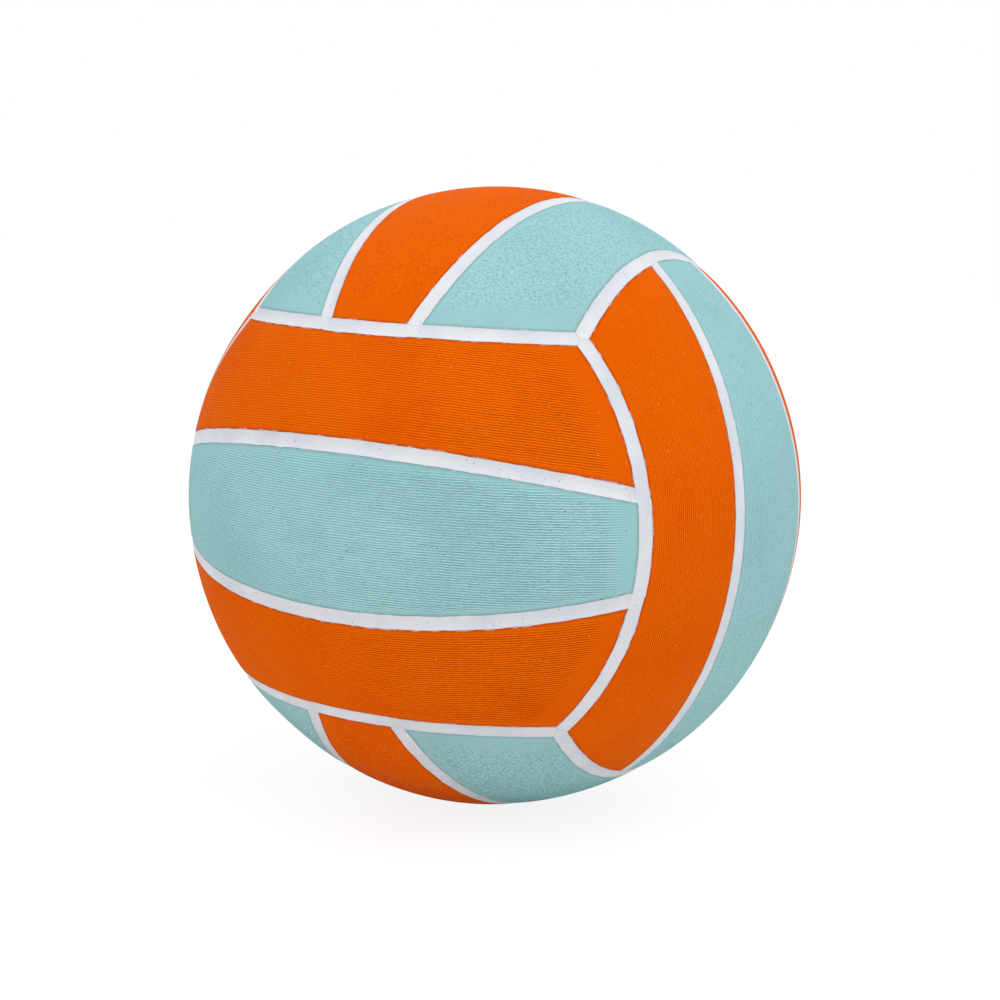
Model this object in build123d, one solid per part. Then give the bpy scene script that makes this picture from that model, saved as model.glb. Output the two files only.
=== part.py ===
from build123d import *
import os
from math import acos, degrees, radians, sin, sqrt, tan

# Water polo ball: cover panels with recessed seam strips between them, over a wound bladder with a valve.
# The origin is the ball's centre. -Y is the front, +X the right side and +Z the top. Sizes are millimetres.

# Overall size
ball_diameter = 210.0

# Layers, from the outside in
panel_thickness = 2.0
carcass_thickness = 0.4
winding_thickness = 0.3
bladder_thickness = 0.6

# Room for the cement between two bonded faces
bond_gap = 0.1

# Seams between the panels
seam_width = 4.6
inner_seam_angle = 14.3
panel_edge_radius = 0.3
panel_corner_extra = 0.5

# White strips in the seams: a shallow trough, higher along its edges than in its middle
strip_edge_height = 1.75
strip_middle_height = 1.1

# Valve core: a rubber plug with a head outside, a bead inside and a blind needle hole
needle_hole_radius = 1.2
needle_funnel = 0.7
core_wall = 2.0
core_shank_length = 17.0
core_head_rim = 1.1
core_head_thickness = 1.6
core_bead_rim = 0.8
core_bead_length = 2.6
core_closed_end = 4.0
core_clearance = 0.02

# Valve boot: the sleeve that holds the core, with a flange bonded to the inside of the bladder
boot_wall = 1.5
boot_recess = 0.5
flange_width = 11.0
flange_root_thickness = 1.6
flange_rim_thickness = 0.6

# Radii of the layers
ball_radius = ball_diameter / 2
cover_inner_radius = ball_radius - panel_thickness
carcass_radius = cover_inner_radius - bond_gap
winding_radius = carcass_radius - carcass_thickness
bladder_radius = winding_radius - winding_thickness
bladder_inner_radius = bladder_radius - bladder_thickness

# The outer seams are circles through the corners of a cube, each at this angle from its own axis
outer_seam_angle = degrees(acos(1 / sqrt(3)))
half_seam = seam_width / 2

# Each group of three panels: its name, the way it faces, and its two sides across the panels' length
X_AXIS = Vector(1, 0, 0)
Y_AXIS = Vector(0, 1, 0)
Z_AXIS = Vector(0, 0, 1)
GROUPS = [
    ("front", -Y_AXIS, [("upper", Z_AXIS), ("lower", -Z_AXIS)]),
    ("back", Y_AXIS, [("upper", Z_AXIS), ("lower", -Z_AXIS)]),
    ("right", X_AXIS, [("front", -Y_AXIS), ("back", Y_AXIS)]),
    ("left", -X_AXIS, [("front", -Y_AXIS), ("back", Y_AXIS)]),
    ("top", Z_AXIS, [("left", -X_AXIS), ("right", X_AXIS)]),
    ("bottom", -Z_AXIS, [("left", -X_AXIS), ("right", X_AXIS)]),
]
VALVE_GROUP = "back"
CENTRE = (0, 0, 0)

# Turns what was made about +Z to lie about +Y, with its start line on the far side of the ball
TOWARDS_SIDE = Plane(CENTRE, x_dir=(-1, 0, 0), z_dir=(0, 1, 0)).location

# A panel's edge is rounded over at most this share of its thickness
EDGE_SHARE = 0.8


def group_place(facing, side):
    """Where a piece that was made facing +Z, with its side towards +Y, goes on the ball."""
    return Plane(CENTRE, x_dir=side.cross(facing), z_dir=facing).location


def cone_inside(offset):
    """All that an outer seam about +Z goes round, with the wall moved out by offset from the seam's middle."""
    apex = -offset / sin(radians(outer_seam_angle))
    height = ball_diameter
    cone = Cone(0, height * tan(radians(outer_seam_angle)), height, align=(Align.CENTER, Align.CENTER, Align.MIN))
    return Pos(0, 0, apex) * Rot(0, 0, -90) * cone


def inner_seam_plane(sign, offset):
    """The plane of an inner seam, moved by offset towards its side of the group (sign +1 is +Y)."""
    normal = Vector(0, sign, 0).rotate(Axis.X, -sign * inner_seam_angle)
    return Plane(normal * offset, z_dir=normal)


def panel_blank():
    """The cover over one whole group of panels, between the end seams. Its poles and seam lie off the cover."""
    cover = Rot(0, 90, 0) * (Sphere(ball_radius) - Sphere(cover_inner_radius))
    return cover & cone_inside(-half_seam)


def rounded(panel):
    """Round a panel's corners, and then the edges of its outer face, down towards the seams."""
    edge_radius = min(panel_edge_radius, EDGE_SHARE * panel_thickness)
    curved_faces = panel.faces().filter_by(GeomType.SPHERE)
    panel = fillet(panel.edges() - curved_faces.edges(), edge_radius + panel_corner_extra)
    outer_face = max(panel.faces().filter_by(GeomType.SPHERE), key=lambda face: face.center().length)
    return fillet(outer_face.edges(), edge_radius)


def side_panel():
    """The panel between an inner seam and the outer seam on the +Y side."""
    panel = split(panel_blank(), inner_seam_plane(1, half_seam), Keep.TOP)
    panel -= TOWARDS_SIDE * cone_inside(half_seam)
    return rounded(panel)


def middle_panel():
    """The panel between a group's two inner seams."""
    panel = panel_blank()
    for sign in (1, -1):
        panel = split(panel, inner_seam_plane(sign, -half_seam), Keep.BOTTOM)
    return rounded(panel)


def strip_ring(seam_angle):
    """Half a ring of seam strip about +Z, on the +X side, at the seam's angle from +Z."""
    section_plane = Plane(CENTRE, x_dir=Vector(0, 0, 1).rotate(Axis.Y, seam_angle), z_dir=(0, -1, 0))
    foot = sqrt(cover_inner_radius**2 - half_seam**2)
    edge = foot + strip_edge_height
    outline = [
        ThreePointArc((foot, -half_seam), (cover_inner_radius, 0), (foot, half_seam)),
        Line((foot, half_seam), (edge, half_seam)),
        ThreePointArc((edge, half_seam), (cover_inner_radius + strip_middle_height, 0), (edge, -half_seam)),
        Line((edge, -half_seam), (foot, -half_seam)),
    ]
    section = section_plane * make_face(outline)
    return Rot(0, 0, -90) * revolve(section, Axis.Z, 180)


def outer_strip():
    """The strip in the outer seam on the +Y side, mitred where three strips meet at each end."""
    strip = Plane(CENTRE, x_dir=(0, 0, 1), z_dir=(0, 1, 0)).location * strip_ring(outer_seam_angle)
    for end in (1, -1):
        corner = Axis(CENTRE, (end, 1, 1))
        along = Vector(-end, 0, 1)
        for turn in (-30, 30):
            strip = split(strip, Plane(CENTRE, z_dir=along.rotate(corner, turn)), Keep.TOP)
    return strip


def inner_strip():
    """The strip in the inner seam on the +Y side, butted against the outer strips across its ends."""
    seam_plane = inner_seam_plane(1, 0)
    outward = seam_plane.z_dir.rotate(Axis.X, 90)
    strip = Plane(CENTRE, x_dir=outward, z_dir=seam_plane.z_dir).location * strip_ring(90)
    return strip & cone_inside(-half_seam)


def layer(outer_radius, inner_radius):
    """A closed layer of the ball, with the hole that the valve's neck passes through."""
    return Sphere(outer_radius) - Sphere(inner_radius) - valve_hole()


# Radii and heights of the valve along its own axis, measured from the ball's centre
core_radius = needle_hole_radius + core_wall
head_radius = core_radius + core_head_rim
bead_radius = core_radius + core_bead_rim
neck_radius = head_radius + core_clearance + boot_wall
flange_radius = neck_radius + flange_width
valve_top = ball_radius - boot_recess
head_seat = valve_top - core_head_thickness
boot_end = head_seat - core_shank_length
core_end = boot_end - core_bead_length


def valve_place():
    """The valve points out of the middle of its group."""
    facing = next(facing for name, facing, sides in GROUPS if name == VALVE_GROUP)
    return Plane(CENTRE, x_dir=X_AXIS, z_dir=facing).location


def valve_hole():
    radius = neck_radius + bond_gap
    return valve_place() * Cylinder(radius, ball_diameter, align=(Align.CENTER, Align.CENTER, Align.MIN))


def turned(outline):
    """A solid of revolution about the valve's axis from a closed outline of radius and height."""
    section = Plane.XZ * make_face(outline)
    return valve_place() * revolve(section, Axis.Z, 360)


def bonded_height(radius, depth):
    """Height above the ball's centre of a point this deep in the flange, at a radius from the valve's axis."""
    return sqrt((bladder_inner_radius - bond_gap - depth)**2 - radius**2)


def valve_boot():
    """Sleeve with a tapered flange under the bladder, a neck out to the cover and a stepped bore for the core."""
    bore = core_radius + core_clearance
    counterbore = head_radius + core_clearance
    neck_root = (neck_radius, bonded_height(neck_radius, 0))
    middle_radius = neck_radius + flange_width / 2
    flange_middle = (middle_radius, bonded_height(middle_radius, 0))
    rim_top = (flange_radius, bonded_height(flange_radius, 0))
    rim_bottom = (flange_radius, bonded_height(flange_radius, flange_rim_thickness))
    flange_root = (neck_radius, bonded_height(neck_radius, flange_root_thickness))
    outline = [
        Polyline((bore, boot_end), (bore, head_seat), (counterbore, head_seat), (counterbore, valve_top),
                 (neck_radius, valve_top), neck_root),
        ThreePointArc(neck_root, flange_middle, rim_top),
        Polyline(rim_top, rim_bottom, flange_root, (neck_radius, boot_end), (bore, boot_end)),
    ]
    return turned(outline)


def valve_core():
    """Plug with its head in the boot's counterbore, its bead behind the boot and a funnelled needle hole."""
    hole_end = core_end + core_closed_end
    funnel_radius = needle_hole_radius + needle_funnel
    outline = Polyline(
        (0, core_end), (bead_radius - core_bead_rim, core_end), (bead_radius, core_end + core_bead_rim),
        (bead_radius, boot_end), (core_radius, boot_end), (core_radius, head_seat), (head_radius, head_seat),
        (head_radius, valve_top), (funnel_radius, valve_top), (needle_hole_radius, valve_top - needle_funnel),
        (needle_hole_radius, hole_end), (0, hole_end), close=True,
    )
    return turned(outline)


def ball_pieces():
    """Every piece of the ball by name, in its place."""
    pieces = {
        "bladder": layer(bladder_radius, bladder_inner_radius),
        "winding": layer(winding_radius, bladder_radius),
        "carcass": layer(carcass_radius, winding_radius),
        "valve_boot": valve_boot(),
        "valve_core": valve_core(),
    }
    side = side_panel()
    middle = middle_panel()
    outer = outer_strip()
    inner = inner_strip()
    for group, facing, sides in GROUPS:
        first_side = sides[0][1]
        centre_panel = group_place(facing, first_side) * middle
        if group == VALVE_GROUP:
            centre_panel -= valve_hole()
        pieces[f"{group}_middle_panel"] = centre_panel
        for side_name, direction in sides:
            place = group_place(facing, direction)
            pieces[f"{group}_{side_name}_panel"] = place * side
            pieces[f"{group}_{side_name}_outer_strip"] = place * outer
            pieces[f"{group}_{side_name}_inner_strip"] = place * inner
    return pieces


os.makedirs("parts", exist_ok=True)
for name, piece in ball_pieces().items():
    export_step(piece, f"parts/{name}.step")
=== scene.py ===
"""A moulded rubber water polo ball: cover panels with fine grip ribs, and recessed white seam strips."""

from math import acos, cos, pi, radians, sin, sqrt, tan

import bpy
import numpy as np
from mathutils import Matrix, Vector


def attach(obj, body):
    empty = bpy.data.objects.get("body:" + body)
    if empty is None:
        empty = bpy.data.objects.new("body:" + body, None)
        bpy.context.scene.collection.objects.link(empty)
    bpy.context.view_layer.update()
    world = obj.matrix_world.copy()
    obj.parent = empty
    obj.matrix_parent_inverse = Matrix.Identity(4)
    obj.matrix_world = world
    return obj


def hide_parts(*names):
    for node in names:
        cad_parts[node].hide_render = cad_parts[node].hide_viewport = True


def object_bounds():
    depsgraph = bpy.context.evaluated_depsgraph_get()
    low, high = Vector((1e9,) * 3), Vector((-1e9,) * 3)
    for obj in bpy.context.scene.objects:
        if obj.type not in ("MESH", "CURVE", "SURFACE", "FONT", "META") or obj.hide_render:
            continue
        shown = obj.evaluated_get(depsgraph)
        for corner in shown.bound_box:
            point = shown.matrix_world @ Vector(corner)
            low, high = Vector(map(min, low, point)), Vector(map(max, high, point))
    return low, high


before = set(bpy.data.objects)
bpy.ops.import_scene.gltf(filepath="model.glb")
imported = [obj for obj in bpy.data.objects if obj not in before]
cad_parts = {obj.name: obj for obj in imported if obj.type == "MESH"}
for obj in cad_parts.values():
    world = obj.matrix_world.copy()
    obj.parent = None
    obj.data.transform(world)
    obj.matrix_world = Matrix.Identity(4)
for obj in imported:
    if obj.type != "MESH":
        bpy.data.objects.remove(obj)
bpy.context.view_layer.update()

MM = 0.001

# The ball, in metres. The origin is its centre, -Y the front, +X the right side and +Z the top.
BALL_RADIUS = 105 * MM
PANEL_THICKNESS = 2.0 * MM
SEAM_WIDTH = 4.6 * MM
INNER_SEAM_ANGLE = radians(14.3)
OUTER_SEAM_ANGLE = acos(1 / sqrt(3))
HALF_SEAM = SEAM_WIDTH / 2

# An outer strip goes this far round its circle each way from its middle, to mitres that three strips share
CORNER_TURN = pi / 4
MITRE = tan(radians(30))

# Panel form: a rounded edge, and a soft fall towards it from the panel's middle
EDGE_RADIUS = 0.3 * MM
PILLOW_DROP = 0.15 * MM
PILLOW_REACH = 4.0 * MM
PILLOW_LIMIT = 1.3

# Seam strips: how far below the panels' crown their middle and their edges lie
STRIP_MIDDLE_DEPTH = 0.8 * MM
STRIP_EDGE_DEPTH = 0.15 * MM

# Small unevenness of a moulded ball: wandering edges, lumps, and a height that is a little over its width
WANDER = 0.05 * MM
WANDER_LENGTH = 6 * MM
WANDER_SEEDS = (1, 2, 3)
LUMP = 0.1 * MM
LUMP_LENGTH = 75 * MM
LUMP_LIMIT = 2
LUMP_SINK = 1
LUMP_SEED = 4
WAVE_COUNT = 24
WAVE_SPREAD = (0.7, 1.6)
OVAL = 0.33 * MM

# Three places where the ball is a little flat: the way each faces, its depth, and its width as an angle
FLATS = [
    ((0.9, 0.36, 0.24), 0.35 * MM, radians(25)),
    ((-0.68, -0.47, 0.56), 0.6 * MM, radians(13)),
    ((-0.41, -0.54, -0.73), 0.6 * MM, radians(9)),
]

# Where inner strips meet an outer one, the stretch of seam between them lies this much further out
KINK = 0.5 * MM
KINK_LENGTH = 1.0 * MM
KINK_REACH = 4.0 * MM

# Mesh spacing
FIRST_STEP = 0.06 * MM
STEP_GROWTH = 1.35
COARSE_STEP = 1.1 * MM
STRIP_STEP = 0.6 * MM
STRIP_ACROSS = 13

# Grip ribs, which run along each panel: level in the middle panels and tilted in the side panels
RIB_PITCH = 0.78 * MM
RIB_TILT = radians(9)
SIDE_MARGIN = 0.6 * MM
SIDE_FADE = 2.2 * MM
END_MARGIN = 1.0 * MM
END_FADE = 12.0 * MM
BREAK_MARGIN = 9.0 * MM
BREAK_FADE = 6.0 * MM

# How clearly the ribs stand out on each group of panels, where a pebble grain takes over from them below 1
RIB_CLARITY = {"front": 1.0, "back": 1.0, "right": 0.55, "left": 0.55, "top": 0.12, "bottom": 0.12}

# The hole in the cover that the valve's neck fills, and the block of mesh round it that is made in rings
VALVE_HOLE_RADIUS = 5.92 * MM
VALVE_BLOCK = 11 * MM
VALVE_RIM_RADIUS = 0.5 * MM
VALVE_RINGS = 12

SHARP_ANGLE = radians(50)

# Each group of panels: its name, the way it faces, and its two sides across the panels' length
GROUPS = [
    ("front", (0, -1, 0), [("upper", (0, 0, 1)), ("lower", (0, 0, -1))]),
    ("back", (0, 1, 0), [("upper", (0, 0, 1)), ("lower", (0, 0, -1))]),
    ("right", (1, 0, 0), [("front", (0, -1, 0)), ("back", (0, 1, 0))]),
    ("left", (-1, 0, 0), [("front", (0, -1, 0)), ("back", (0, 1, 0))]),
    ("top", (0, 0, 1), [("left", (-1, 0, 0)), ("right", (1, 0, 0))]),
    ("bottom", (0, 0, -1), [("left", (-1, 0, 0)), ("right", (1, 0, 0))]),
]
TEAL_SIDED = ("top", "bottom")
VALVE_GROUP = "back"


# Shared form: where things lie on the ball

def group_axes(facing, side):
    """Rows that take a point made facing +Z, with its side towards +Y, to its place on the ball."""
    facing = np.array(facing, float)
    side = np.array(side, float)
    return np.array([np.cross(side, facing), side, facing])


def waves(points, length, seed):
    """A smooth uneven field over the points, about 1 in size, from plane waves of about one length."""
    rng = np.random.default_rng(seed)
    field = np.zeros(points.shape[:-1])
    for _ in range(WAVE_COUNT):
        direction = rng.normal(size=3)
        direction *= 2 * pi / (length * rng.uniform(*WAVE_SPREAD)) / np.linalg.norm(direction)
        field += np.cos(points @ direction + rng.uniform(0, 2 * pi))
    return field * sqrt(2 / WAVE_COUNT)


def uneven(points, depth):
    """Points on the ball at a depth below its crown, with the unevenness that all pieces share there."""
    shift = np.stack([waves(points, WANDER_LENGTH, seed) for seed in WANDER_SEEDS], axis=-1)
    moved = points + WANDER * shift
    for _, facing, sides in GROUPS:
        moved += kink(points, np.array(facing), np.array(sides[0][1]))
    moved /= np.linalg.norm(moved, axis=-1, keepdims=True)
    lump = waves(points, LUMP_LENGTH, LUMP_SEED)
    lump = LUMP * (np.clip(lump, -LUMP_LIMIT, LUMP_LIMIT) - LUMP_SINK)
    oval = OVAL * (2 * moved[..., 2]**2 - 1)
    for facing, fall, width in FLATS:
        angle = np.arccos(np.clip(moved @ facing / np.linalg.norm(facing), -1, 1))
        lump -= fall * np.exp(-(angle / width)**2)
    return moved * (BALL_RADIUS - depth + lump + oval)[..., None]


def kink(points, facing, side):
    """How far points near the ends of a group's middle panel are moved away from it."""
    height = points @ facing
    end = BALL_RADIUS * (OUTER_SEAM_ANGLE - np.arccos(np.clip(height / BALL_RADIUS, -1, 1)))
    within = height * sin(INNER_SEAM_ANGLE) - np.abs(points @ side) * cos(INNER_SEAM_ANGLE)
    share = np.exp(-(end / KINK_REACH)**2) * smooth_step(within, -KINK_LENGTH / 2, KINK_LENGTH)
    away = points * (height / BALL_RADIUS**2)[..., None] - facing
    return KINK * share[..., None] * away


def inner_seam_distance(points, sign):
    """Distance from an inner seam's middle line, positive on its outer side. Points face +Z."""
    across = sign * points[..., 1] * cos(INNER_SEAM_ANGLE) - points[..., 2] * sin(INNER_SEAM_ANGLE)
    return BALL_RADIUS * np.arcsin(np.clip(across / BALL_RADIUS, -1, 1))


def outer_seam_distance(points, axis):
    """Distance from the outer seam about an axis, positive on the axis' side."""
    return BALL_RADIUS * (OUTER_SEAM_ANGLE - np.arccos(np.clip(points[..., axis] / BALL_RADIUS, -1, 1)))


def smooth_step(value, start, width):
    """0 before the start, 1 past the width, and a smooth rise between."""
    share = np.clip((value - start) / width, 0, 1)
    return share * share * (3 - 2 * share)


# Panels

def panel_points(is_side, along, across):
    """Points of a panel on the ball, at places from -1 to 1 along its length and across it."""
    if is_side:
        share = (across + 1) / 2
        turn = INNER_SEAM_ANGLE * (1 - share)
        first = INNER_SEAM_ANGLE + HALF_SEAM / BALL_RADIUS
        last = pi / 2 - OUTER_SEAM_ANGLE - HALF_SEAM / BALL_RADIUS
        offset = BALL_RADIUS * np.sin(first + (last - first) * share - turn)
    else:
        turn = INNER_SEAM_ANGLE * across
        offset = -HALF_SEAM * across
    reach = np.sqrt(BALL_RADIUS**2 - offset**2)
    end_height = BALL_RADIUS * cos(OUTER_SEAM_ANGLE - HALF_SEAM / BALL_RADIUS)
    end = np.arccos((end_height + offset * np.sin(turn)) / (reach * np.cos(turn)))
    angle = along * end
    x = reach * np.sin(angle)
    y = offset * np.cos(turn) + reach * np.cos(angle) * np.sin(turn)
    z = reach * np.cos(angle) * np.cos(turn) - offset * np.sin(turn)
    return np.stack([x, y, z], axis=-1)


def panel_edge_distances(points, is_side):
    """Distances from a panel's end edges and from its side edges."""
    end = outer_seam_distance(points, 2) - HALF_SEAM
    if is_side:
        inner = inner_seam_distance(points, 1) - HALF_SEAM
        outer = -outer_seam_distance(points, 1) - HALF_SEAM
        side = np.minimum(inner, outer)
    else:
        side = np.minimum(-inner_seam_distance(points, 1), -inner_seam_distance(points, -1)) - HALF_SEAM
    return np.maximum(end, 0), np.maximum(side, 0)


def rounding(distances, radius):
    """How far a rounded edge has fallen, at these distances from one or two edges."""
    inside = np.sqrt(sum(np.clip(radius - distance, 0, None)**2 for distance in distances))
    return radius - np.sqrt(radius**2 - np.clip(inside, 0, radius)**2)


def panel_depth(end, side):
    """Depth of a panel's surface below the ball's crown."""
    fall = np.exp(-side / PILLOW_REACH) + np.exp(-end / PILLOW_REACH)
    return rounding((end, side), EDGE_RADIUS) + PILLOW_DROP * np.clip(fall, 0, PILLOW_LIMIT)


def panel_values(points, is_side, clarity):
    """What the cover's materials read at each point, about the ribs there and how far the edge is."""
    end, side = panel_edge_distances(points, is_side)
    tilt = RIB_TILT if is_side else 0
    across = points[..., 1] * cos(tilt) - points[..., 2] * sin(tilt)
    rib = BALL_RADIUS * np.arcsin(np.clip(across / BALL_RADIUS, -1, 1)) / RIB_PITCH
    run = BALL_RADIUS * np.arcsin(np.clip(points[..., 0] / BALL_RADIUS, -1, 1))
    grip = smooth_step(side, SIDE_MARGIN, SIDE_FADE) * smooth_step(end, END_MARGIN, END_FADE)
    return {"rib": rib, "run": run / MM, "grip": grip, "ribbed": np.full(len(points), clarity),
            "broken": smooth_step(end, BREAK_MARGIN, BREAK_FADE), "edge": np.minimum(end, side) / MM}


def steps_between(length):
    """Places from -1 to 1 over a length, close together at both ends."""
    places = [0.0]
    step = FIRST_STEP
    while places[-1] + step < length / 2:
        places.append(places[-1] + step)
        step = min(step * STEP_GROWTH, COARSE_STEP)
    half = np.array(places) / places[-1] - 1
    return np.concatenate([half, -half[-2::-1]])


def panel_grid(is_side):
    """A panel's points, and their places along and across it."""
    edge_points = panel_points(is_side, np.array([-1.0, 1.0, 0, 0]), np.array([0, 0, -1.0, 1.0]))
    angles = [acos(edge_points[i] @ edge_points[i + 1] / BALL_RADIUS**2) for i in (0, 2)]
    along, across = (steps_between(BALL_RADIUS * angle) for angle in angles)
    along, across = np.meshgrid(along, across)
    return panel_points(is_side, along, across), along, across


# Meshes

def flat(values):
    """A grid's values as one list."""
    return values.reshape(-1, *values.shape[2:])


def grid_quads(index):
    """The grid's cells, each as the numbers of its four points."""
    corners = [index[:-1, :-1], index[:-1, 1:], index[1:, 1:], index[1:, :-1]]
    return np.stack(corners, axis=-1).reshape(-1, 4)


def ring_edges(loop):
    """Each point of a closed loop with the next one."""
    return np.stack([loop, np.roll(loop, -1)], axis=-1)


def outer_loop(index):
    """The grid's border, the way round that keeps its inside on the left."""
    return np.concatenate([index[0, :-1], index[:-1, -1], index[-1, :0:-1], index[:0:-1, 0]])


def closed_mesh(name, outer, inner, quads, edges, places, values, axes):
    """A mesh of an outer and an inner sheet with the same quads, joined by walls along the open edges."""
    count = len(outer)
    faces = np.concatenate([
        quads,
        quads[:, ::-1] + count,
        np.stack([edges[:, 0] + count, edges[:, 1] + count, edges[:, 1], edges[:, 0]], axis=-1),
    ])
    vertices = np.concatenate([outer, inner]) @ axes
    mesh = bpy.data.meshes.new(name)
    mesh.vertices.add(len(vertices))
    mesh.vertices.foreach_set("co", vertices.astype(np.float32).ravel())
    mesh.loops.add(faces.size)
    mesh.loops.foreach_set("vertex_index", faces.astype(np.int32).ravel())
    mesh.polygons.add(len(faces))
    mesh.polygons.foreach_set("loop_start", np.arange(0, faces.size, 4, dtype=np.int32))
    mesh.update(calc_edges=True)
    for key, field in values.items():
        attribute = mesh.attributes.new(key, "FLOAT", "POINT")
        attribute.data.foreach_set("value", np.tile(field, 2).astype(np.float32))
    bake_places(mesh, faces, len(quads), places)
    mesh.shade_smooth()
    mesh.set_sharp_from_angle(angle=SHARP_ANGLE)
    piece = bpy.data.objects.new(name, mesh)
    bpy.context.scene.collection.objects.link(piece)
    return piece


# Where the three kinds of face lie in the texture's square: the outer face has nearly all of it
OUTER_BAND = (0.02, 0.995)
INNER_BAND = (0.001, 0.007)
WALL_BAND = (0.010, 0.016)
BAND_SIDES = (0.005, 0.995)

# How much of its room along the band each wall face takes up
WALL_SHARE = 0.9


def in_band(share, band):
    """The place in a band at a share of its width."""
    return band[0] + (band[1] - band[0]) * share


def bake_places(mesh, faces, quad_count, places):
    """A texture layout that stretches the outer face over the square, for when the materials are baked."""
    share = (np.tile(places, (2, 1))[faces] + 1) / 2
    u = in_band(share[..., 0], BAND_SIDES)
    v = in_band(share[..., 1], OUTER_BAND)
    v[quad_count:2 * quad_count] = in_band(share[quad_count:2 * quad_count, :, 1], INNER_BAND)
    wall_count = len(faces) - 2 * quad_count
    start = np.arange(wall_count) / wall_count
    end = start + WALL_SHARE / wall_count
    u[2 * quad_count:] = in_band(np.stack([start, end, end, start], axis=-1), BAND_SIDES)
    v[2 * quad_count:] = in_band(np.array([0.0, 0.0, 1.0, 1.0]), WALL_BAND)
    layer = mesh.uv_layers.new(name="OFBake")
    layer.data.foreach_set("uv", np.stack([u, v], axis=-1).astype(np.float32).ravel())


def finish_piece(piece, node, material):
    """Dress a piece that stands for a node."""
    piece.data.materials.append(material)
    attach(piece, "root")
    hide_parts(node)


def base_points(points):
    """Points on the ball, taken down to the cover's inside."""
    return points * (BALL_RADIUS - PANEL_THICKNESS) / BALL_RADIUS


def make_panel(node, is_side, has_valve, clarity, axes, material, slot):
    """A cover panel with a crowned outer face, and the valve's hole where it has one."""
    points, along, across = panel_grid(is_side)
    depth = panel_depth(*panel_edge_distances(points, is_side))
    index = np.arange(along.size).reshape(along.shape)
    quads = grid_quads(index)
    edges = ring_edges(outer_loop(index))
    points, depth = flat(points), depth.ravel()
    places = np.stack([along.ravel(), across.ravel()], axis=-1)
    if has_valve:
        points, places, depth, quads, edges = with_valve_hole(points, places, depth, index, edges)
    values = panel_values(points, is_side, clarity)
    if has_valve:
        clear = np.hypot(points[:, 0], points[:, 1]) - VALVE_HOLE_RADIUS
        values["grip"] *= smooth_step(clear, 0, SIDE_FADE)
    outer = uneven(points @ axes, depth) @ axes.T
    piece = closed_mesh(f"{node}_rubber", outer, base_points(points), quads, edges, places, values, axes)
    finish_piece(piece, node, material)


def with_valve_hole(points, places, depth, index, edges):
    """Take the cells round the panel's middle out, and lead rings of points in to a round hole."""
    grid = points.reshape(*index.shape, 3)
    row = np.where(np.abs(grid[:, index.shape[1] // 2, 1]) < VALVE_BLOCK)[0]
    column = np.where(np.abs(grid[index.shape[0] // 2, :, 0]) < VALVE_BLOCK)[0]
    block = index[row[0]:row[-1] + 1, column[0]:column[-1] + 1]
    kept = np.ones((index.shape[0] - 1, index.shape[1] - 1), bool)
    kept[row[0]:row[-1], column[0]:column[-1]] = False
    quads = grid_quads(index)[kept.ravel()]
    loop = outer_loop(block)
    reach = np.hypot(points[loop, 0], points[loop, 1])
    rings = [loop]
    for ring in range(1, VALVE_RINGS + 1):
        away = (1 - ring / VALVE_RINGS)**2
        shrink = (VALVE_HOLE_RADIUS + (reach - VALVE_HOLE_RADIUS) * away) / reach
        flat_points = points[loop, :2] * shrink[:, None]
        height = np.sqrt(BALL_RADIUS**2 - (flat_points**2).sum(axis=1))
        clear = np.hypot(flat_points[:, 0], flat_points[:, 1]) - VALVE_HOLE_RADIUS
        rings.append(len(points) + np.arange(len(loop)))
        points = np.concatenate([points, np.column_stack([flat_points, height])])
        places = np.concatenate([places, places[loop] * shrink[:, None]])
        depth = np.concatenate([depth, depth[loop] + rounding((clear,), VALVE_RIM_RADIUS)])
    for wide, narrow in zip(rings, rings[1:]):
        new = np.stack([wide, np.roll(wide, -1), np.roll(narrow, -1), narrow], axis=-1)
        quads = np.concatenate([quads, new])
    edges = np.concatenate([edges, ring_edges(rings[-1])[:, ::-1]])
    return drop_points(points, places, depth, quads, edges, block[1:-1, 1:-1])


def drop_points(points, places, depth, quads, edges, unused):
    """Take the unused points out of the lists and number the rest again."""
    kept = np.setdiff1d(np.arange(len(points)), unused)
    number = np.zeros(len(points), int)
    number[kept] = np.arange(len(kept))
    return points[kept], places[kept], depth[kept], number[quads], number[edges]


# Seam strips

def strip_depth(edge):
    """Depth of a strip's trough at a distance from the nearest panel."""
    rise = np.clip(1 - edge / HALF_SEAM, 0, 1)**2
    return STRIP_MIDDLE_DEPTH - (STRIP_MIDDLE_DEPTH - STRIP_EDGE_DEPTH) * rise


def strip_grid(length):
    """Places from -1 to 1 along and across a strip, closer together near its edges."""
    along = np.linspace(-1, 1, round(length / STRIP_STEP))
    across = np.sin(np.linspace(-pi / 2, pi / 2, STRIP_ACROSS))
    return np.meshgrid(along, across)


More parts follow.
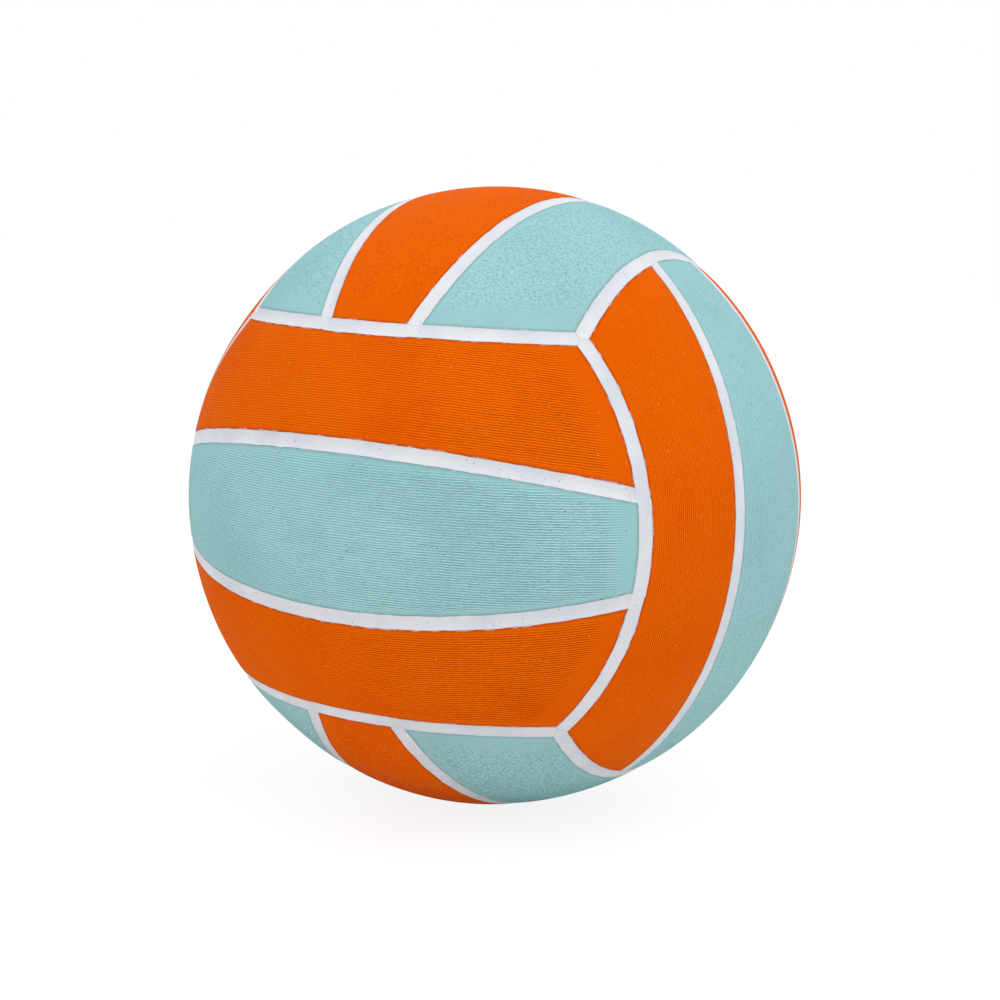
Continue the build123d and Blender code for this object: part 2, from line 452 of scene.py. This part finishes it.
def outer_strip():
    """The strip on a group's +Y side, mitred at both ends: points, places, edge distances and length."""
    radius = BALL_RADIUS * sin(OUTER_SEAM_ANGLE)
    length = 2 * CORNER_TURN * radius
    along, across = strip_grid(length)
    off = across * HALF_SEAM
    end = CORNER_TURN - np.abs(off) * MITRE / radius
    turn = along * end
    tilt = OUTER_SEAM_ANGLE - off / BALL_RADIUS
    points = BALL_RADIUS * np.stack(
        [np.sin(tilt) * np.sin(turn), np.cos(tilt), np.sin(tilt) * np.cos(turn)], axis=-1)
    past_corner = np.clip(HALF_SEAM * MITRE - radius * (CORNER_TURN - np.abs(turn)), 0, None)
    neighbour = np.abs(points[..., 0]) * cos(INNER_SEAM_ANGLE) - points[..., 1] * sin(INNER_SEAM_ANGLE)
    past_panel = np.clip(HALF_SEAM - np.abs(neighbour), 0, None)
    own_side = np.hypot(HALF_SEAM + off, past_corner)
    far_side = np.sqrt((HALF_SEAM - off)**2 + past_corner**2 + past_panel**2)
    return points, along, across, np.minimum(own_side, far_side), length


def inner_strip():
    """The strip between a group's middle panel and its +Y panel, given in the same way."""
    end_angle = OUTER_SEAM_ANGLE - HALF_SEAM / BALL_RADIUS
    length = 2 * end_angle * BALL_RADIUS
    along, across = strip_grid(length)
    off = across * HALF_SEAM / BALL_RADIUS
    rise = (cos(end_angle) + np.sin(off) * sin(INNER_SEAM_ANGLE)) / (np.cos(off) * cos(INNER_SEAM_ANGLE))
    angle = along * np.arccos(rise)
    out = np.cos(off) * np.cos(angle)
    points = BALL_RADIUS * np.stack([
        np.cos(off) * np.sin(angle),
        np.sin(off) * cos(INNER_SEAM_ANGLE) + out * sin(INNER_SEAM_ANGLE),
        out * cos(INNER_SEAM_ANGLE) - np.sin(off) * sin(INNER_SEAM_ANGLE),
    ], axis=-1)
    return points, along, across, HALF_SEAM * (1 - np.abs(across)), length


def make_strip(node, form, axes, material, slot):
    """A seam strip with a trough along its outer face."""
    points, along, across, edge, length = form
    index = np.arange(along.size).reshape(along.shape)
    points, edge = flat(points), edge.ravel()
    places = np.stack([along.ravel(), across.ravel()], axis=-1)
    outer = uneven(points @ axes, strip_depth(edge)) @ axes.T
    quads = grid_quads(index)
    edges = ring_edges(outer_loop(index))
    joint = (1 - np.abs(along.ravel())) * length / 2
    values = {"edge": edge / MM, "joint": joint / MM}
    piece = closed_mesh(f"{node}_rubber", outer, base_points(points), quads, edges, places, values, axes)
    finish_piece(piece, node, material)


# Materials

# A speck keeps its full strength out to this share of its size
SPECK_CORE = 0.6


class Shader:
    """A material's nodes, with short ways to add them."""

    def __init__(self, name):
        self.material = bpy.data.materials.new(name)
        self.material.use_nodes = True
        self.tree = self.material.node_tree
        self.surface = self.tree.nodes["Principled BSDF"]

    def add(self, kind, inputs=None, **settings):
        """A node with these settings, whose inputs are set to values or joined to other nodes' outputs."""
        node = self.tree.nodes.new(kind)
        for key, value in settings.items():
            setattr(node, key, value)
        for key, value in (inputs or {}).items():
            self.join(node, key, value)
        return node

    def join(self, node, key, value):
        if isinstance(value, bpy.types.NodeSocket):
            self.tree.links.new(value, node.inputs[key])
        else:
            node.inputs[key].default_value = value

    def math(self, operation, first, second=0.0, third=0.0):
        return self.add("ShaderNodeMath", {0: first, 1: second, 2: third}, operation=operation).outputs[0]

    def times(self, first, second):
        return self.math("MULTIPLY", first, second)

    def attribute(self, name):
        return self.add("ShaderNodeAttribute", attribute_name=name).outputs["Fac"]

    def place(self):
        return self.add("ShaderNodeTexCoord").outputs["Object"]

    def stretched(self, place, scales):
        return self.add("ShaderNodeMapping", {"Vector": place, "Scale": scales}).outputs[0]

    def noise(self, place, scale, detail):
        inputs = {"Vector": place, "Scale": scale, "Detail": detail}
        return self.add("ShaderNodeTexNoise", inputs).outputs["Fac"]

    def field(self, run, rib, scales):
        """Noise along and across the ribs, from two numbers that are each scaled."""
        x = self.times(run, scales[0])
        y = self.times(rib, scales[1])
        place = self.add("ShaderNodeCombineXYZ", {"X": x, "Y": y}).outputs[0]
        return self.noise(place, scale=1.0, detail=1.0)

    def between(self, value, low, high, new_low=0.0, new_high=1.0):
        """A value that goes smoothly from new_low to new_high as another goes from low to high."""
        inputs = {"Value": value, "From Min": low, "From Max": high, "To Min": new_low, "To Max": new_high}
        return self.add("ShaderNodeMapRange", inputs, interpolation_type="SMOOTHSTEP").outputs["Result"]

    def mix(self, share, first, second):
        """A mix of two colours, for which the node has the inputs 6 and 7 and the output 2."""
        node = self.add("ShaderNodeMix", data_type="RGBA")
        self.join(node, "Factor", share)
        self.join(node, 6, first)
        self.join(node, 7, second)
        return node.outputs[2]

    def specks(self, place, spacing, size, share):
        """Small round specks, in this share of cells of this spacing."""
        cells = self.add("ShaderNodeTexVoronoi", {"Vector": place, "Scale": 1 / spacing})
        chance = self.add("ShaderNodeSeparateColor", {"Color": cells.outputs["Color"]}).outputs[0]
        reach = size / spacing
        near = self.between(cells.outputs["Distance"], reach * SPECK_CORE, reach, 1.0, 0.0)
        return self.times(near, self.math("LESS_THAN", chance, share))

    def finish(self, tint, roughness, height, distance, strength=1.0):
        """Join the colour, roughness and relief to the surface."""
        bump = self.add("ShaderNodeBump", {"Height": height, "Distance": distance, "Strength": strength})
        self.join(self.surface, "Base Color", tint)
        self.join(self.surface, "Roughness", roughness)
        self.join(self.surface, "Normal", bump.outputs["Normal"])
        return self.material


def linear(red, green, blue):
    """A colour on screen, from 0 to 255, as light."""
    levels = np.array([red, green, blue]) / 255
    light = np.where(levels <= 0.04045, levels / 12.92, ((levels + 0.055) / 1.055)**2.4)
    return (*light, 1.0)


def lit_crest_colour(colour, groove_shade_and_dark_tone):
    """The crests' colour, painted lighter as if lit, that with the painted shade of the grooves between
    them looks like the plain colour from afar.
    """
    return tuple(np.clip(2 * np.array(colour) - np.array(groove_shade_and_dark_tone), 0, 1))


# A noise's mean, and two levels that most of it lies between
NOISE_MEAN = 0.5
MIDDLE_NOISE = (0.3, 0.7)

# The level of a relief where it is smooth
SMOOTH_LEVEL = 0.5

# How the ribs waver, vary in depth and have gaps where a noise is low. Each pair of scales is for
# millimetres along a rib and for ribs across.
SWAY = 0.4
SWAY_SCALES = (0.05, 0.22)
JITTER = 0.35
JITTER_SCALES = (0.55, 0.6)
LEAST_RIB_DEPTH = 0.75
RIB_DEPTH_SCALES = (0.16, 3.7)
RIB_GAP_DEPTH = 0.3
RIB_GAP_NOISE = (0.55, 0.4)
RIB_GAP_SCALES = (0.75, 5.3)
RIB_LIFT = 0.1

# The pebble grain: fine pits, drawn out along X, and the share of them that is left among clear ribs
PEBBLE_SCALE = 1900.0
PEBBLE_STRETCH = (0.45, 1.1, 1.1)
PEBBLE_NOISE = (0.2, 0.62)
PEBBLE_RANGE = (-0.33, 0.1)
PEBBLE_AMONG_RIBS = 0.25

# The relief isn't even over the ball: ribs grow clearer along X, and ribs and pits are deeper low down,
# with darker painted shade there
RIB_GROWTH = (-30 * MM, 70 * MM)
LOW_RIBS = (-30 * MM, -5 * MM)
LOW_RIB_GAIN = 1.25
LOW_PEBBLES = (-90 * MM, 0.0)
LOW_PEBBLE_GAIN = 1.4

# The cover's fine grain, soft mottling, painted edge shade and smears. Reaches are millimetres from the
# edge.
GRAIN_SCALE = 1900.0
GRAIN_NOISE = (0.35, 0.75)
GRAIN_TINT = 0.2
GRAIN_HEIGHT = 0.3
MOTTLE_SCALE = 28.0
MOTTLE_NOISE = (0.4, 0.75)
MOTTLE_TINT = 0.2
EDGE_SHADE = 0.55
EDGE_SHADE_REACH = (0.2, 1.1)
SMEAR = 0.5
SMEAR_SCALE = 330.0
SMEAR_NOISE = (0.5, 0.66)
SMEAR_REACH = (0.1, 0.6)
SMEAR_COLOUR = linear(222, 224, 228)
COVER_SPECKS = (2.8 * MM, 0.26 * MM, 0.3)
COVER_RELIEF = 0.16 * MM
COVER_ROUGHNESS = (0.62, 0.74)
COVER_SPECULAR = 0.015

# The two covers. The ribs' share of the relief is given at both ends of their growth along X. Their groove
# colours are painted shade in grooves and pits, and also the darker tone of grain and mottle.
ORANGE_LOOK = {
    "rib_shares": (0.34, 0.68),
    "pebble_share": 0.6,
    "colour": linear(243, 101, 2),
    "groove_shade_and_dark_tone": linear(212, 58, 1),
    "edge_shade_colour": linear(185, 62, 4),
    "speck_colour": linear(244, 150, 85),
}
TEAL_LOOK = {
    "rib_shares": (0.38, 0.72),
    "pebble_share": 1.0,
    "colour": linear(160, 207, 210),
    "groove_shade_and_dark_tone": linear(122, 170, 173),
    "edge_shade_colour": linear(124, 166, 169),
    "speck_colour": linear(96, 110, 112),
}


def rib_wave(shader):
    """The ribs' height, from -1 to 1. They sway, and away from the panel's ends they also have gaps."""
    rib = shader.attribute("rib")
    run = shader.attribute("run")
    broken = shader.attribute("broken")
    sway = shader.field(run, rib, SWAY_SCALES)
    jitter = shader.math("SUBTRACT", shader.field(run, rib, JITTER_SCALES), NOISE_MEAN)
    count = shader.math("MULTIPLY_ADD", sway, SWAY, rib)
    count = shader.math("MULTIPLY_ADD", shader.times(jitter, broken), JITTER, count)
    number = shader.math("FLOOR", count)
    depth = shader.between(shader.field(run, number, RIB_DEPTH_SCALES), *MIDDLE_NOISE, LEAST_RIB_DEPTH, 1.0)
    gap = shader.between(shader.field(run, number, RIB_GAP_SCALES), *RIB_GAP_NOISE, 0.0, RIB_GAP_DEPTH)
    whole = shader.math("SUBTRACT", 1.0, shader.times(gap, broken))
    wave = shader.math("COSINE", shader.times(count, 2 * pi))
    return shader.times(wave, shader.times(depth, whole))


def pebble_grain(shader, place, height, ribbed, share):
    """The depth of the pits, below 0, with a little height between them."""
    noise = shader.noise(shader.stretched(place, PEBBLE_STRETCH), PEBBLE_SCALE, detail=0.0)
    pebble = shader.between(noise, *PEBBLE_NOISE, *PEBBLE_RANGE)
    pebble = shader.times(pebble, shader.between(ribbed, 0.0, 1.0, share, PEBBLE_AMONG_RIBS * share))
    return shader.times(pebble, shader.between(height, *LOW_PEBBLES, LOW_PEBBLE_GAIN, 1.0))


def cover_level(shader, place, rib_shares, pebble_share):
    """The relief's level: low in grooves and pits, high on crests, and even in the panel's margin."""
    ribbed = shader.attribute("ribbed")
    axes = shader.add("ShaderNodeSeparateXYZ", {"Vector": place}).outputs
    share = shader.between(axes["X"], *RIB_GROWTH, *rib_shares)
    share = shader.times(share, shader.between(axes["Z"], *LOW_RIBS, LOW_RIB_GAIN, 1.0))
    ribs = shader.times(shader.math("ADD", rib_wave(shader), RIB_LIFT), share)
    pebble = pebble_grain(shader, place, axes["Z"], ribbed, pebble_share)
    relief = shader.math("MULTIPLY_ADD", ribs, ribbed, pebble)
    return shader.math("MULTIPLY_ADD", relief, shader.attribute("grip"), SMOOTH_LEVEL)


def cover_material(name, rib_shares, pebble_share, colour, groove_shade_and_dark_tone, edge_shade_colour, speck_colour):
    """Matte rubber with moulded ribs and grain, painted shade in its grooves and pits and painted light on
    its crests, painted shade along its edge, a smooth margin, and smears of white along its edge.
    """
    shader = Shader(name)
    place = shader.place()
    edge = shader.attribute("edge")
    level = cover_level(shader, place, rib_shares, pebble_share)
    grain = shader.noise(place, GRAIN_SCALE, detail=3.0)
    mottle = shader.noise(place, MOTTLE_SCALE, detail=3.0)
    smear = shader.between(shader.noise(place, SMEAR_SCALE, detail=2.0), *SMEAR_NOISE, 0.0, SMEAR)
    smear = shader.times(smear, shader.between(edge, *SMEAR_REACH, 1.0, 0.0))

    # Painted shade in grooves and pits and painted light on crests, following the relief's level
    tint = shader.mix(level, groove_shade_and_dark_tone, lit_crest_colour(colour, groove_shade_and_dark_tone))
    tint = shader.mix(shader.between(grain, *GRAIN_NOISE, 0.0, GRAIN_TINT), tint, groove_shade_and_dark_tone)
    tint = shader.mix(shader.between(mottle, *MOTTLE_NOISE, 0.0, MOTTLE_TINT), tint, groove_shade_and_dark_tone)
    # Painted shade along the panel's edge, where the crease beside the strip is shaded
    tint = shader.mix(shader.between(edge, *EDGE_SHADE_REACH, EDGE_SHADE, 0.0), tint, edge_shade_colour)
    tint = shader.mix(smear, tint, SMEAR_COLOUR)
    tint = shader.mix(shader.specks(place, *COVER_SPECKS), tint, speck_colour)

    roughness = shader.between(mottle, *MIDDLE_NOISE, *COVER_ROUGHNESS)
    height = shader.math("MULTIPLY_ADD", grain, GRAIN_HEIGHT, level)
    shader.surface.inputs["Specular IOR Level"].default_value = COVER_SPECULAR
    return shader.finish(tint, roughness, height, COVER_RELIEF)


# The strips' cloudiness, grain, painted edge shade, joint lines and specks. Reaches are millimetres.
CLOUD_SCALE = 60.0
CLOUD_HEIGHT = 2.0
CLOUD_COLOURS = (linear(217, 222, 229), linear(230, 232, 237))
STRIP_GRAIN_SCALE = 1500.0
STRIP_EDGE_SHADE = 0.25
STRIP_EDGE_REACH = 0.5
STRIP_EDGE_SHADE_COLOUR = linear(190, 194, 200)
JOINT_SHADE = 0.4
JOINT_REACH = 0.4
JOINT_COLOUR = linear(170, 176, 184)
STRIP_SPECKS = (1.8 * MM, 0.22 * MM, 0.45)
STRIP_SPECK_COLOUR = linear(135, 135, 140)
STRIP_RELIEF = 0.08 * MM
STRIP_BUMP = 0.5
STRIP_ROUGHNESS = (0.5, 0.62)
STRIP_SPECULAR = 0.1


def strip_material():
    """White rubber with a faint cool cloudiness, fine grain, painted shade along its edges, joint lines and
    a few dark specks.
    """
    shader = Shader("seam_rubber")
    place = shader.place()
    cloud = shader.noise(place, CLOUD_SCALE, detail=3.0)
    grain = shader.noise(place, STRIP_GRAIN_SCALE, detail=3.0)
    edge_shade = shader.between(shader.attribute("edge"), 0.0, STRIP_EDGE_REACH, STRIP_EDGE_SHADE, 0.0)
    joint_shade = shader.between(shader.attribute("joint"), 0.0, JOINT_REACH, JOINT_SHADE, 0.0)

    tint = shader.mix(shader.between(cloud, *MIDDLE_NOISE), *CLOUD_COLOURS)
    # Painted shade along the strip's edges, where the panels' walls shade the trough
    tint = shader.mix(edge_shade, tint, STRIP_EDGE_SHADE_COLOUR)
    tint = shader.mix(joint_shade, tint, JOINT_COLOUR)
    tint = shader.mix(shader.specks(place, *STRIP_SPECKS), tint, STRIP_SPECK_COLOUR)

    roughness = shader.between(cloud, *MIDDLE_NOISE, *STRIP_ROUGHNESS)
    height = shader.math("MULTIPLY_ADD", cloud, CLOUD_HEIGHT, grain)
    shader.surface.inputs["Specular IOR Level"].default_value = STRIP_SPECULAR
    return shader.finish(tint, roughness, height, STRIP_RELIEF, STRIP_BUMP)


# The layers and the valve: material, two colours, grain scale, roughness and the grain's stretch
INNER_LOOKS = {
    "bladder": ("bladder_rubber", linear(30, 30, 32), linear(42, 42, 45), 400.0, 0.5, (1, 1, 1)),
    "winding": ("winding_yarn", linear(226, 222, 208), linear(196, 190, 172), 500.0, 0.6, (0.1, 1, 1)),
    "carcass": ("carcass_rubber", linear(200, 196, 188), linear(180, 176, 168), 500.0, 0.6, (1, 1, 1)),
    "valve_boot": ("valve_rubber", linear(228, 230, 235), linear(214, 216, 222), 900.0, 0.5, (1, 1, 1)),
    "valve_core": ("valve_core_rubber", linear(38, 38, 40), linear(52, 52, 55), 900.0, 0.5, (1, 1, 1)),
}
INNER_ROUGHNESS_SPREAD = 0.1
INNER_RELIEF = 0.1 * MM
INNER_BUMP = 0.6


def inner_material(name, colour, other, scale, roughness, stretch):
    """A plain rubber or yarn layer with a mottled colour and grain."""
    shader = Shader(name)
    grain = shader.noise(shader.stretched(shader.place(), stretch), scale, detail=4.0)
    tint = shader.mix(shader.between(grain, *MIDDLE_NOISE), colour, other)
    uneven_roughness = shader.between(grain, *MIDDLE_NOISE, roughness, roughness + INNER_ROUGHNESS_SPREAD)
    return shader.finish(tint, uneven_roughness, grain, INNER_RELIEF, INNER_BUMP)


def dress_inner_nodes():
    """Give the layers and the valve, which keep their own solids, their finishes."""
    for node, look in INNER_LOOKS.items():
        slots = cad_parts[node].data.materials
        slots.clear()
        slots.append(inner_material(*look))


# Camera, light and floor

# The camera at the photograph's viewing angle, with the ball's centre at its pixel there
CAMERA_AZIMUTH = radians(29.23)
CAMERA_ELEVATION = radians(8.33)
CAMERA_ROLL = radians(2.77)
CAMERA_DISTANCE = 653.7 * MM
CAMERA_LENS = 68.15
SENSOR_WIDTH = 36.0
IMAGE_SIZE = 1000
BALL_CENTRE_PIXEL = (495.0, 495.4)

# Light from all round and from one soft lamp, and a white floor that shows a faint shadow
AMBIENT = 0.80
LAMP_PLACE = (0.43, -0.40, 1.38)
LAMP_SIZE = 1.0
LAMP_POWER = 6.4
FLOOR_SIZE = 12.0
FLOOR_WHITE = 0.91
FLOOR_SHADOW_SHARE = 0.2
FLOOR_GLOW = 0.87


def make_camera():
    """A camera that points at the ball's centre, rolled and shifted as the photograph is."""
    data = bpy.data.cameras.new("camera")
    data.sensor_width = SENSOR_WIDTH
    data.lens = CAMERA_LENS
    data.shift_x = 0.5 - BALL_CENTRE_PIXEL[0] / IMAGE_SIZE
    data.shift_y = BALL_CENTRE_PIXEL[1] / IMAGE_SIZE - 0.5
    camera = bpy.data.objects.new("camera", data)
    bpy.context.scene.collection.objects.link(camera)
    back = Vector((sin(CAMERA_AZIMUTH) * cos(CAMERA_ELEVATION),
                   -cos(CAMERA_AZIMUTH) * cos(CAMERA_ELEVATION), sin(CAMERA_ELEVATION)))
    turn = (-back).to_track_quat("-Z", "Y").to_matrix() @ Matrix.Rotation(CAMERA_ROLL, 3, "Z")
    camera.matrix_world = Matrix.Translation(back * CAMERA_DISTANCE) @ turn.to_4x4()
    bpy.context.scene.camera = camera


def seen_directly(tree):
    """1 for what the camera, a reflection or a clear material sees, and 0 for light on the object."""
    path = tree.nodes.new("ShaderNodeLightPath")
    total = None
    for name in ("Is Camera Ray", "Is Glossy Ray", "Is Transmission Ray"):
        if total is None:
            total = path.outputs[name]
            continue
        either = tree.nodes.new("ShaderNodeMath")
        either.operation = "MAXIMUM"
        tree.links.new(total, either.inputs[0])
        tree.links.new(path.outputs[name], either.inputs[1])
        total = either.outputs[0]
    return total


def make_world():
    """Even white light from all round, with a pure white background."""
    world = bpy.data.worlds.new("world")
    bpy.context.scene.world = world
    world.use_nodes = True
    tree = world.node_tree
    strength = tree.nodes.new("ShaderNodeMapRange")
    strength.inputs["To Min"].default_value = AMBIENT
    strength.inputs["To Max"].default_value = 1.0
    tree.links.new(seen_directly(tree), strength.inputs["Value"])
    background = tree.nodes["Background"]
    background.inputs["Color"].default_value = (1, 1, 1, 1)
    tree.links.new(strength.outputs["Result"], background.inputs["Strength"])


def make_light(name, place, size, power):
    """A soft square lamp that points at the ball."""
    data = bpy.data.lights.new(name, "AREA")
    data.size = size
    data.energy = power
    lamp = bpy.data.objects.new(name, data)
    bpy.context.scene.collection.objects.link(lamp)
    lamp.location = place
    lamp.rotation_mode = "QUATERNION"
    lamp.rotation_quaternion = (-Vector(place)).to_track_quat("-Z", "Y")


def make_floor(level):
    """A wide pale floor: it lights the ball from below, and shows white with the ball's soft shadow."""
    half = FLOOR_SIZE / 2
    mesh = bpy.data.meshes.new("floor")
    corners = [(-half, -half, level), (half, -half, level), (half, half, level), (-half, half, level)]
    mesh.from_pydata(corners, [], [(0, 1, 2, 3)])
    floor = bpy.data.objects.new("floor", mesh)
    bpy.context.scene.collection.objects.link(floor)
    material = bpy.data.materials.new("floor")
    material.use_nodes = True
    tree = material.node_tree
    tree.nodes.clear()
    bounce = tree.nodes.new("ShaderNodeBsdfDiffuse")
    bounce.inputs["Color"].default_value = (FLOOR_WHITE, FLOOR_WHITE, FLOOR_WHITE, 1)
    shaded = tree.nodes.new("ShaderNodeBsdfDiffuse")
    shaded.inputs["Color"].default_value = (FLOOR_SHADOW_SHARE, FLOOR_SHADOW_SHARE, FLOOR_SHADOW_SHARE, 1)
    glow = tree.nodes.new("ShaderNodeEmission")
    glow.inputs["Strength"].default_value = FLOOR_GLOW
    seen = tree.nodes.new("ShaderNodeAddShader")
    tree.links.new(shaded.outputs[0], seen.inputs[0])
    tree.links.new(glow.outputs[0], seen.inputs[1])
    choice = tree.nodes.new("ShaderNodeMixShader")
    tree.links.new(seen_directly(tree), choice.inputs[0])
    tree.links.new(bounce.outputs[0], choice.inputs[1])
    tree.links.new(seen.outputs[0], choice.inputs[2])
    output = tree.nodes.new("ShaderNodeOutputMaterial")
    tree.links.new(choice.outputs[0], output.inputs[0])
    mesh.materials.append(material)


# The whole scene

ORANGE = (cover_material("orange_cover", **ORANGE_LOOK), "orange_cover")
TEAL = (cover_material("teal_cover", **TEAL_LOOK), "teal_cover")
WHITE = (strip_material(), "seam_rubber")

outer_form = outer_strip()
inner_form = inner_strip()
for group, facing, sides in GROUPS:
    middle_finish, side_finish = (ORANGE, TEAL) if group in TEAL_SIDED else (TEAL, ORANGE)
    middle_axes = group_axes(facing, sides[0][1])
    clarity = RIB_CLARITY[group]
    make_panel(f"{group}_middle_panel", False, group == VALVE_GROUP, clarity, middle_axes, *middle_finish)
    for side, direction in sides:
        axes = group_axes(facing, direction)
        make_panel(f"{group}_{side}_panel", True, False, clarity, axes, *side_finish)
        make_strip(f"{group}_{side}_outer_strip", outer_form, axes, *WHITE)
        make_strip(f"{group}_{side}_inner_strip", inner_form, axes, *WHITE)
dress_inner_nodes()

bpy.context.scene.view_settings.view_transform = "Standard"
make_camera()
make_world()
make_light("overhead", LAMP_PLACE, LAMP_SIZE, LAMP_POWER)
low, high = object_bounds()
make_floor(low.z)
